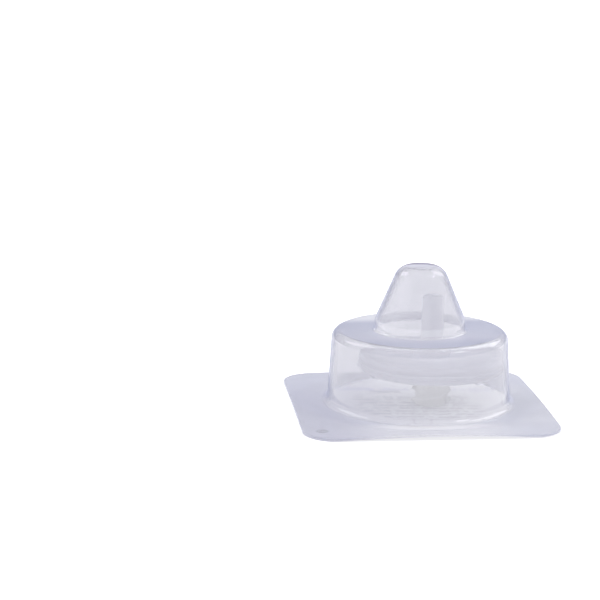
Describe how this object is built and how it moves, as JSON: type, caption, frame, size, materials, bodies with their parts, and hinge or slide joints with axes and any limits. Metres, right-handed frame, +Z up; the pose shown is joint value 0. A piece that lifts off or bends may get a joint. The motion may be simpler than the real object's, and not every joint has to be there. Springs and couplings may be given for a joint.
{
  "type": "syringe filter in its sterile blister pack",
  "caption": "Disc syringe filter standing in its sealed pack: clear film formed into a drum and a cone on a square paper lid; threaded Luer socket below, slip nozzle above.",
  "frame": {"origin": "middle of the square sheet, on the lid's underside", "axes": "+Z up through the drum and the cone, X and Y along the sheet's sides"},
  "size_m": [0.05, 0.05, 0.0283],
  "materials": {
    "lidding_paper": "matt spun-bonded sheet",
    "clear_film": "clear, glossy",
    "polypropylene": "milky, as moulded",
    "membrane": "white, dull"
  },
  "bodies": {
    "root": {"lid_sheet": "lidding_paper", "blister_film": "clear_film", "inlet_housing": "polypropylene", "membrane": "membrane", "outlet_housing": "polypropylene"}
  },
  "joints": []
}
